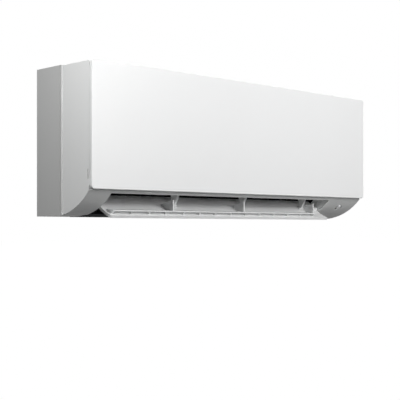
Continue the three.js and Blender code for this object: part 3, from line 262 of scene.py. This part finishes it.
# ---- Meshes ----
BEVEL_SEGMENTS = 2
BEVEL_ANGLE = 30  # degrees; a sharper edge is rounded
SMOOTH_ANGLE = 32  # degrees; a sharper edge stays sharp in the shading
FLAT_ANGLE = 0.5
CAD_WELD = 0.000001  # metres; points of a CAD mesh nearer than this are joined
FORM_WELD = 0.0000001  # the same for the forms made here


def body_of(node):
    for body, members in frame["record"]["behaviour"]["bodies"].items():
        if node in members:
            return body
    return "root"


def paint(piece, look):
    piece.data.materials.clear()
    piece.data.materials.append(MATERIALS[look])


def soften(mesh, angle=SMOOTH_ANGLE):
    for face in mesh.polygons:
        face.use_smooth = True
    mesh.set_sharp_from_angle(angle=math.radians(angle))


def apply_modifiers(piece):
    graph = bpy.context.evaluated_depsgraph_get()
    mesh = bpy.data.meshes.new_from_object(piece.evaluated_get(graph))
    piece.modifiers.clear()
    piece.data = mesh


def bevel(piece, width):
    modifier = piece.modifiers.new("edge", "BEVEL")
    modifier.width = width * MM
    modifier.segments = BEVEL_SEGMENTS
    modifier.limit_method = "ANGLE"
    modifier.angle_limit = math.radians(BEVEL_ANGLE)
    apply_modifiers(piece)


def finish_shading(piece):
    """Keeps the large faces flat, so that only the rounded edges shade smoothly."""
    soften(piece.data)
    modifier = piece.modifiers.new("even", "WEIGHTED_NORMAL")
    modifier.mode = "FACE_AREA_WITH_ANGLE"
    modifier.keep_sharp = True
    apply_modifiers(piece)


def flat_faces(mesh):
    """Joins the triangles of each flat face, so that only real edges are left."""
    work = bmesh.new()
    work.from_mesh(mesh)
    bmesh.ops.remove_doubles(work, verts=work.verts, dist=CAD_WELD)
    bmesh.ops.dissolve_limit(work, angle_limit=math.radians(FLAT_ANGLE), verts=work.verts,
                             edges=work.edges, delimit={"NORMAL"})
    work.to_mesh(mesh)
    work.free()


def dressed(node, width):
    """A copy of a CAD node with its edges rounded, which stands for that node."""
    piece = bpy.data.objects.new(node + "_shell", frame["nodes"][node].data.copy())
    COLLECTION.objects.link(piece)
    flat_faces(piece.data)
    bevel(piece, width)
    finish_shading(piece)
    paint(piece, LOOK_OF_NODE[node])
    return settle(piece, node)


def settle(piece, node):
    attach(piece, body_of(node))
    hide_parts(node)
    return piece


ROUNDED = {  # radius of each node's edges
    "front_casing": 0.6,
    "flap_outer_skin": 0.6,
    "flap_inner_skin": 0.4,
    "air_duct": 0.4,
    "drain_pan": 0.4,
    "control_box": 0.5,
    "control_box_cover": 0.4,
    "receiver_bezel": 0.3,
    "auto_button": 0.3,
    "front_panel": 0.8,
}


def dress_rounded_nodes():
    for node, width in ROUNDED.items():
        dressed(node, width)


def paint_carried_nodes():
    """The CAD nodes keep their meshes, so those that nothing replaces only get a finish."""
    for node, piece in frame["nodes"].items():
        paint(piece, LOOK_OF_NODE[node])


# ---- Forms that repeat: each is drawn in the side view and run along x ----
class Forms:
    """Collects closed forms as one mesh."""

    def __init__(self):
        self.vertices = []
        self.faces = []

    def loops(self, rows, closed_ends=True):
        """Joins rows of as many points each, one after another, into a closed form."""
        start = len(self.vertices)
        count = len(rows[0])
        for row in rows:
            self.vertices += row
        for row in range(len(rows) - 1):
            for i in range(count):
                near = start + row * count
                j = (i + 1) % count
                self.faces.append((near + i, near + j, near + count + j, near + count + i))
        if closed_ends:
            self.faces.append(tuple(range(start + count - 1, start - 1, -1)))
            last = start + (len(rows) - 1) * count
            self.faces.append(tuple(range(last, last + count)))

    def prism(self, outline, left, right):
        self.loops([[at(x, *point) for point in outline] for x in (left, right)])

    def box(self, left, right, front, rear, low, high):
        self.prism([(front, low), (rear, low), (rear, high), (front, high)], left, right)

    def ribbon(self, outer, inner, left, right):
        """A band between two lines of the side view, which may bend."""
        rows = []
        for a, b in zip(outer, inner):
            rows.append([at(left, *a), at(right, *a), at(right, *b), at(left, *b)])
        self.loops(rows)

    def ring(self, left, right, centre, outer, inner, sides=48):
        """A disc with a hole, or a sleeve, about an axis along x."""
        rows = []
        for x, radius in ((left, inner), (left, outer), (right, outer), (right, inner),
                          (left, inner)):
            rows.append([at(x, *polar(centre, radius, 360 * i / sides)) for i in range(sides)])
        self.loops(rows, closed_ends=False)

    def pipe(self, points, radius, sides=12):
        """A round rod along a line of places."""
        rows = []
        side = Vector((0, 0, 1))
        for i, point in enumerate(points):
            along = (points[min(i + 1, len(points) - 1)] - points[max(i - 1, 0)]).normalized()
            side = (side - along * side.dot(along)).normalized()
            other = along.cross(side)
            turns = [2 * math.pi * k / sides for k in range(sides)]
            rows.append([point + (side * math.cos(t) + other * math.sin(t)) * radius * MM
                         for t in turns])
        self.loops(rows)

    def piece(self, name, look, rounding=0.0, smooth=SMOOTH_ANGLE):
        mesh = bpy.data.meshes.new(name)
        mesh.from_pydata(self.vertices, [], self.faces)
        work = bmesh.new()
        work.from_mesh(mesh)
        bmesh.ops.remove_doubles(work, verts=work.verts, dist=FORM_WELD)
        bmesh.ops.recalc_face_normals(work, faces=work.faces)
        work.to_mesh(mesh)
        work.free()
        piece = bpy.data.objects.new(name, mesh)
        COLLECTION.objects.link(piece)
        if rounding:
            bevel(piece, rounding)
        soften(piece.data, smooth)
        paint(piece, look)
        return piece


def polar(centre, radius, degrees):
    turn = math.radians(degrees)
    return (centre[0] + radius * math.cos(turn), centre[1] + radius * math.sin(turn))


def side_box(node):
    """A node's box as left, right, front, rear, low, high in millimetres of the side view."""
    low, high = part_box(node)
    return (low.x / MM, high.x / MM, (low.y - FRONT) / MM, (high.y - FRONT) / MM,
            (low.z - UNDERSIDE) / MM, (high.z - UNDERSIDE) / MM)


def bar_places(start, length, count, end_width, width):
    """The starts and widths of evenly spaced bars, the first and last of which are wider."""
    for i in range(count + 1):
        bar = end_width if i in (0, count) else width
        yield start + (length - bar) * i / count, bar


def ride_on(piece, node):
    """An extra piece that moves with a node."""
    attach(piece, body_of(node))


# ---- Rear chassis and wall plate ----
CHASSIS_EDGE = 0.6
SEAM = 100.3  # where the casing ends and the chassis begins
RIM_REAR = 105.4
RIM_SLOPE = 1.45
GROOVE = 1.5  # its width and depth
GROOVE_FOOT = 6
CHASSIS_SKIN = 2  # what counts as the chassis's outside
OVERSHOOT = 1  # of a cutter beyond what it cuts
TOUCH = 0.1  # faces nearer than this are level

PLATE_EDGE = 0.3
SCREW_REACHES = (102, 299.2)  # each way from the middle
SCREW_HEIGHTS = (65, 235)
PLATE_SCREWS = [(side * x, height) for side in (-1, 1) for x in SCREW_REACHES
                for height in SCREW_HEIGHTS]
SCREW_ROOM = 14
HOLE_ROWS = (0.12, 0.3, 0.5, 0.7, 0.88)  # shares of the plate's height
HOLES_IN_ROW = 12
HOLE_STAGGER = 0.25  # of every other row, as a share of the holes' pitch
HOLE_RADIUS = 2.2
HOLE_SIDES = 16


def carve(piece, cutter):
    modifier = piece.modifiers.new("cut", "BOOLEAN")
    modifier.operation = "DIFFERENCE"
    modifier.solver = "EXACT"
    modifier.object = cutter
    apply_modifiers(piece)
    bpy.data.objects.remove(cutter)


def cut_groove(piece, groove):
    carve(piece, groove.piece("groove", "chassis_white"))


def dress_chassis():
    """The chassis with the bright sloped rim at the seam and the groove behind it."""
    piece = dressed("rear_chassis", CHASSIS_EDGE)
    left, right, _, _, low, high = side_box("rear_chassis")
    groove_rear = RIM_REAR + GROOVE
    for side, inward in ((left, 1), (right, -1)):
        groove = Forms()
        ends = sorted((side - OVERSHOOT * inward, side + GROOVE * inward))
        groove.box(*ends, RIM_REAR, groove_rear, GROOVE_FOOT, high + OVERSHOOT)
        outside = side - OVERSHOOT * inward
        ahead = SEAM - 2 * OVERSHOOT
        slope = [(outside, ahead), (side + (RIM_SLOPE + 2 * OVERSHOOT) * inward, ahead),
                 (outside, SEAM + RIM_SLOPE + OVERSHOOT)]
        groove.loops([[at(x, depth, height) for x, depth in slope]
                      for height in (low - 4 * OVERSHOOT, high + 4 * OVERSHOOT)])
        cut_groove(piece, groove)
    groove = Forms()
    groove.box(left - OVERSHOOT, right + OVERSHOOT, RIM_REAR, groove_rear, high - GROOVE,
               high + OVERSHOOT)
    cut_groove(piece, groove)
    rim = len(piece.data.materials)
    piece.data.materials.append(MATERIALS["shell_white"])
    for face in piece.data.polygons:
        middle = face.center
        is_outside = (abs(middle.x) > (right - CHASSIS_SKIN) * MM
                      or middle.z > at(0, 0, high - CHASSIS_SKIN).z)
        if is_outside and middle.y < at(0, RIM_REAR + TOUCH, 0).y:
            face.material_index = rim
    finish_shading(piece)


def dress_plate():
    """Steel wall plate with rows of fixing holes, round and slotted in turn."""
    piece = dressed("wall_plate", PLATE_EDGE)
    left, right, front, rear, low, high = side_box("wall_plate")
    turns = [2 * math.pi * k / HOLE_SIDES for k in range(HOLE_SIDES)]
    holes = Forms()
    for row, share in enumerate(HOLE_ROWS):
        is_slotted = row % 2
        height = low + (high - low) * share
        for i in range(HOLES_IN_ROW):
            along = (i + 0.5 + HOLE_STAGGER * is_slotted) / (HOLES_IN_ROW + 0.5)
            x = left + (right - left) * along
            if min(math.dist((x, height), place) for place in PLATE_SCREWS) < SCREW_ROOM:
                continue
            half_width = HOLE_RADIUS * (1 + is_slotted)
            holes.loops([[at(x + half_width * math.cos(t), depth,
                             height + HOLE_RADIUS * math.sin(t)) for t in turns]
                         for depth in (front - OVERSHOOT, rear + OVERSHOOT)])
    carve(piece, holes.piece("holes", "sheet_steel"))
    finish_shading(piece)


# ---- Air filters: a net in a curved frame ----
FILTER_BEND = 38
BEND_STEPS = 6
FILTER_DEPTH = 1.8
FILTER_BAR = 5
FILTER_COLUMNS = 4
FILTER_ROWS = 5
MESH_PITCH = 3
THREAD = 0.45
NET_OUTER = 0.7  # the net lies inside the frame's depth
NET_INNER = 1.1
STRETCH_STEP = 8


def filter_line(node, inset):
    """The side view of the filter: up the front, round a bend and back along the top."""
    _, _, front, rear, low, high = side_box(node)
    centre = (front + FILTER_BEND, high - FILTER_BEND)
    bend = [polar(centre, FILTER_BEND - inset, 180 - 90 * i / BEND_STEPS)
            for i in range(BEND_STEPS + 1)]
    return [(front + inset, low), *bend, (rear, high - inset)]


def along_line(points, distance):
    for a, b in zip(points, points[1:]):
        step = math.dist(a, b)
        if distance <= step:
            share = distance / step
            return tuple(p + (q - p) * share for p, q in zip(a, b))
        distance -= step
    return points[-1]


def line_length(points):
    return sum(math.dist(a, b) for a, b in zip(points, points[1:]))


def stretch_of(node, inset, start, width):
    """The part of the filter's line that begins at a distance along it."""
    line = filter_line(node, inset)
    steps = max(2, round(width / STRETCH_STEP) + 1)
    return [along_line(line, start + width * i / (steps - 1)) for i in range(steps)]


def filter_net(node):
    left, right = side_box(node)[:2]
    net = Forms()
    outer, inner = filter_line(node, NET_OUTER), filter_line(node, NET_INNER)
    for i in range(1, int((right - left) / MESH_PITCH)):
        x = left + i * MESH_PITCH
        net.ribbon(outer, inner, x, x + THREAD)
    for i in range(1, int(line_length(outer) / MESH_PITCH)):
        start = i * MESH_PITCH
        net.ribbon(stretch_of(node, NET_OUTER, start, THREAD),
                   stretch_of(node, NET_INNER, start, THREAD), left, right)
    return net.piece(node + "_net", "filter_net")


def filter_frame(node):
    left, right = side_box(node)[:2]
    bars = Forms()
    outer, inner = filter_line(node, 0), filter_line(node, FILTER_DEPTH)
    for x, width in bar_places(left, right - left, FILTER_COLUMNS, FILTER_BAR, FILTER_BAR / 2):
        bars.ribbon(outer, inner, x, x + width)
    length = line_length(outer)
    shorter = line_length(inner) / length
    for start, width in bar_places(0, length, FILTER_ROWS, FILTER_BAR, FILTER_BAR / 2):
        bars.ribbon(stretch_of(node, 0, start, width),
                    stretch_of(node, FILTER_DEPTH, start * shorter, width), left, right)
    return bars.piece(node + "_frame", SLOT_OF_NODE[node])


def dress_filters():
    for node in ("filter_left", "filter_right"):
        settle(filter_frame(node), node)
        ride_on(filter_net(node), node)


# ---- Evaporator: fins on copper tubes ----
FIN_PITCH = 1.7
FIN = 0.16
COIL_THICKNESS = 26
COIL_GAP = 0.3  # end plate to the first fin
COIL_LINES = {  # lower and upper end of each block's outer face
    "coil_front_lower": ((17, 92), (17, 172)),
    "coil_front_upper": ((19, 188), (84, 289)),
    "coil_rear": ((130, 289), (172, 205)),
}
BEND_PLACES = (0.28, 0.72)  # shares of the block's length
BEND_RADIUS = 12
BEND_REACH = 20
BEND_ROOT = 2  # how far a bend begins inside the block
BEND_SMOOTH = 60
BEND_PARTS = 12
COPPER_RADIUS = 3.6


def dress_coil(node):
    start, end = (Vector(point) for point in COIL_LINES[node])
    left = side_box("coil_plate_left")[1] + COIL_GAP
    right = side_box("coil_plate_right")[0] - COIL_GAP
    along = (end - start).normalized()
    inward = Vector((along.y, -along.x))
    corners = [start, end, end + inward * COIL_THICKNESS, start + inward * COIL_THICKNESS]
    fins = Forms()
    for i in range(int((right - left) / FIN_PITCH) + 1):
        x = left + i * FIN_PITCH
        fins.prism([tuple(corner) for corner in corners], x, x + FIN)
    settle(fins.piece(node + "_fins", SLOT_OF_NODE[node]), node)
    bends = Forms()
    for share in BEND_PLACES:
        middle = start + (end - start) * share + inward * (COIL_THICKNESS / 2)
        for x, reach in ((left + BEND_ROOT, -BEND_REACH), (right - BEND_ROOT, BEND_REACH)):
            bends.pipe(u_bend(x, reach, middle, along), COPPER_RADIUS)
    ride_on(bends.piece(node + "_bends", "pipe_copper", smooth=BEND_SMOOTH), node)


def u_bend(x, reach, middle, along):
    points = []
    for i in range(BEND_PARTS + 1):
        turn = math.pi * i / BEND_PARTS
        place = middle - along * BEND_RADIUS * math.cos(turn)
        points.append(at(x + reach * math.sin(turn), place.x, place.y))
    return points


# ---- Cross-flow fan: curved blades between discs ----
BLADES = 35
BLADE_INNER = 38
BLADE_INSET = 1  # blade to the discs' rim
BLADE_SWEEP = 16  # degrees from the inner to the outer edge
BLADE_CURL = 5  # degrees more at half way
BLADE_HALF = 0.5  # half of the thickness, which varies along the blade
BLADE_MIDDLE = 1.2  # shares of that thickness
BLADE_ENDS = 0.7
BLADE_STEPS = 4
DISCS = 11
DISC = 2.4
DISC_OVERLAP = 2
HUB_RADIUS = 10
HUB_LENGTH = 19
HUB_BORE = 4.3
HUB_SIDES = 24
HUB_FIT = 0.1  # end disc into the hub
HUB_PROUD = 3


def blade_outline(centre, angle, outer):
    lines = []
    for half in (BLADE_HALF, -BLADE_HALF):
        line = []
        for i in range(BLADE_STEPS + 1):
            share = i / BLADE_STEPS
            radius = BLADE_INNER + (outer - BLADE_INNER) * share
            turn = BLADE_SWEEP * share + BLADE_CURL * math.sin(math.pi * share)
            taper = BLADE_MIDDLE - (BLADE_MIDDLE - BLADE_ENDS) * abs(2 * share - 1)
            slim = half * taper
            line.append(polar(centre, radius, angle + turn + math.degrees(slim / radius)))
        lines.append(line)
    return lines[0] + lines[1][::-1]


def dress_fan():
    left_end, right_end, front, rear, low, high = side_box("cross_flow_fan")
    centre = ((front + rear) / 2, (low + high) / 2)
    outer = (high - low) / 2
    left, right = left_end + HUB_PROUD, right_end - HUB_PROUD
    fan = Forms()
    for i in range(BLADES):
        outline = blade_outline(centre, 360 * i / BLADES, outer - BLADE_INSET)
        fan.prism(outline, left, right)
    for i in range(DISCS):
        x = left + (right - left - DISC) * i / (DISCS - 1)
        is_end = i in (0, DISCS - 1)
        inner = HUB_RADIUS - HUB_FIT if is_end else BLADE_INNER - DISC_OVERLAP
        fan.ring(x, x + DISC, centre, outer, inner)
    for start in (left_end, right_end - HUB_LENGTH):
        fan.ring(start, start + HUB_LENGTH, centre, HUB_RADIUS, HUB_BORE, HUB_SIDES)
    settle(fan.piece("fan_rotor", "fan_black"), "cross_flow_fan")


# ---- Top grille: long bars over lower cross bars ----
GRILLE_RIM = 7
GRILLE_EDGE = 0.5
LONG_BARS = 17
LONG_BAR = 2.2
CROSS_BARS = 34
CROSS_BAR = 1.8
CROSS_INSET = 1
CROSS_DROP = 0.4


def dress_grille():
    left, right, front, rear, low, high = side_box("top_grille")
    grille = Forms()
    for start, width in bar_places(front, rear - front, LONG_BARS, GRILLE_RIM, LONG_BAR):
        grille.box(left, right, start, start + width, low, high)
    for start, width in bar_places(left, right - left, CROSS_BARS, GRILLE_RIM, CROSS_BAR):
        grille.box(start, start + width, front + CROSS_INSET, rear - CROSS_INSET, low,
                   high - CROSS_DROP)
    look = SLOT_OF_NODE["top_grille"]
    settle(grille.piece("inlet_grille", look, GRILLE_EDGE), "top_grille")


# ---- Receiver window: a black ring in its pin hole, painted shade that keeps the hole dark ----
PIN_X = 380.75
PIN_CENTRE = (40.9, 26.2)
PIN_SLOPE = 145  # degrees, of the window's face in the side view
SHADE_RING_RADIUS = 2.8
SHADE_RING_BORE = 1.1
SHADE_RING_REAR = -1.8  # below the casing's curve
SHADE_RING_FRONT = -0.65
SHADE_RING_SIDES = 24


def dress_pin_hole():
    across = polar((0, 0), 1, PIN_SLOPE)
    outward = polar((0, 0), 1, PIN_SLOPE + 90)
    rows = []
    for rise, radius in ((SHADE_RING_REAR, SHADE_RING_BORE), (SHADE_RING_REAR, SHADE_RING_RADIUS),
                         (SHADE_RING_FRONT, SHADE_RING_RADIUS), (SHADE_RING_FRONT, SHADE_RING_BORE),
                         (SHADE_RING_REAR, SHADE_RING_BORE)):
        circle = [polar((0, 0), radius, 360 * i / SHADE_RING_SIDES) for i in range(SHADE_RING_SIDES)]
        rows.append([at(PIN_X + x,
                        PIN_CENTRE[0] + y * across[0] + rise * outward[0],
                        PIN_CENTRE[1] + y * across[1] + rise * outward[1]) for x, y in circle])
    shade_ring = Forms()
    shade_ring.loops(rows, closed_ends=False)
    # painted shade: a black ring put in the pin hole where there is only the hole's shade
    piece = shade_ring.piece("pin_hole_painted_shade", "terminal_black")
    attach(piece, body_of("receiver_bezel"))


# ---- Light and surroundings ----
FLOOR_DROP = 1.3  # metres below the unit
FLOOR_REACH = 60  # metres each way
FLOOR_GREY = (0.3, 0.3, 0.3)
FLOOR_ROUGHNESS = 0.9
SHADOW_SHARE = 0.06  # how much of the floor's own shading the camera sees
FLOOR_GLOW = 1.06
SKY = (0.1, 0.1, 0.1)
GROUND = (0.03, 0.03, 0.03)
LAMPS = {  # place, what it faces and size in metres, power in watts
    "front_low": ((0.4, -1.6, 0.34), (0.2, -0.2, -0.05), 0.9, 10.6),
    "front_high": ((0.1, -1.6, 0.68), (0.1, -0.2, 0), 0.6, 7.6),
    "above": ((-0.2, -0.8, 1.0), (-0.2, -0.15, 0), 0.6, 0.7),
    "left": ((-1.0, -0.45, 0.52), (-0.44, -0.15, 0), 0.4, 5.5),
    "right": ((1.6, -0.4, 1.0), (0.445, -0.1, 0.1), 0.8, 3.5),
    "back": ((0, 2.2, 1.2), (0, 0, 0), 1.2, 22),
}


def camera_or_mirror(tree):
    """1 for what the camera sees, straight or in a mirror or glass, and 0 for other light."""
    path = tree.nodes.new("ShaderNodeLightPath")
    total = path.outputs["Is Camera Ray"]
    for output in ("Is Glossy Ray", "Is Transmission Ray"):
        add = tree.nodes.new("ShaderNodeMath")
        add.operation = "MAXIMUM"
        tree.links.new(total, add.inputs[0])
        tree.links.new(path.outputs[output], add.inputs[1])
        total = add.outputs["Value"]
    return total


def floor_material():
    """Pale floor: white to the camera apart from the object's soft shadow."""
    material = bpy.data.materials.new("floor")
    material.use_nodes = True
    tree = material.node_tree
    shader = tree.nodes["Principled BSDF"]
    shader.inputs["Base Color"].default_value = (*FLOOR_GREY, 1)
    shader.inputs["Roughness"].default_value = FLOOR_ROUGHNESS
    glow = tree.nodes.new("ShaderNodeEmission")
    glow.inputs["Strength"].default_value = FLOOR_GLOW
    share = tree.nodes.new("ShaderNodeMath")
    share.operation = "MULTIPLY"
    share.inputs[1].default_value = 1 - SHADOW_SHARE
    tree.links.new(camera_or_mirror(tree), share.inputs[0])
    mix = tree.nodes.new("ShaderNodeMixShader")
    tree.links.new(share.outputs["Value"], mix.inputs["Fac"])
    tree.links.new(shader.outputs["BSDF"], mix.inputs[1])
    tree.links.new(glow.outputs["Emission"], mix.inputs[2])
    tree.links.new(mix.outputs["Shader"], tree.nodes["Material Output"].inputs["Surface"])
    return material


def make_floor():
    mesh = bpy.data.meshes.new("floor")
    r = FLOOR_REACH
    mesh.from_pydata([(-r, -r, 0), (r, -r, 0), (r, r, 0), (-r, r, 0)], [], [(0, 1, 2, 3)])
    floor = bpy.data.objects.new("floor", mesh)
    floor.location.z = UNDERSIDE - FLOOR_DROP
    mesh.materials.append(floor_material())
    COLLECTION.objects.link(floor)


def make_world():
    """A soft room, brighter above, which is plain white to the camera."""
    world = bpy.data.worlds.new("world")
    bpy.context.scene.world = world
    world.use_nodes = True
    tree = world.node_tree
    direction = tree.nodes.new("ShaderNodeTexCoord")
    split = tree.nodes.new("ShaderNodeSeparateXYZ")
    tree.links.new(direction.outputs["Generated"], split.inputs["Vector"])
    height = tree.nodes.new("ShaderNodeMapRange")
    height.inputs["From Min"].default_value = -1
    tree.links.new(split.outputs["Z"], height.inputs["Value"])
    colour = tree.nodes.new("ShaderNodeMix")
    colour.data_type = "RGBA"
    colour.inputs["A"].default_value = (*GROUND, 1)
    colour.inputs["B"].default_value = (*SKY, 1)
    tree.links.new(height.outputs["Result"], colour.inputs["Factor"])
    room = tree.nodes["Background"]
    tree.links.new(colour.outputs["Result"], room.inputs["Color"])
    white = tree.nodes.new("ShaderNodeBackground")
    white.inputs["Color"].default_value = (1, 1, 1, 1)
    mix = tree.nodes.new("ShaderNodeMixShader")
    tree.links.new(camera_or_mirror(tree), mix.inputs["Fac"])
    tree.links.new(room.outputs["Background"], mix.inputs[1])
    tree.links.new(white.outputs["Background"], mix.inputs[2])
    tree.links.new(mix.outputs["Shader"], tree.nodes["World Output"].inputs["Surface"])


def softbox(name, place, target, size, power):
    data = bpy.data.lights.new(name, "AREA")
    data.shape = "SQUARE"
    data.size = size
    data.energy = power
    lamp = bpy.data.objects.new(name, data)
    lamp.location = place
    lamp.rotation_euler = (Vector(target) - Vector(place)).to_track_quat("-Z", "Y").to_euler()
    lamp.visible_camera = False
    COLLECTION.objects.link(lamp)


def make_light():
    make_world()
    for name, setting in LAMPS.items():
        softbox(name, *setting)


make_camera()
paint_carried_nodes()
dress_rounded_nodes()
dress_chassis()
dress_plate()
dress_filters()
for coil in COIL_LINES:
    dress_coil(coil)
dress_fan()
dress_grille()
dress_pin_hole()
make_floor()
make_light()
bpy.context.scene.view_settings.view_transform = "Standard"
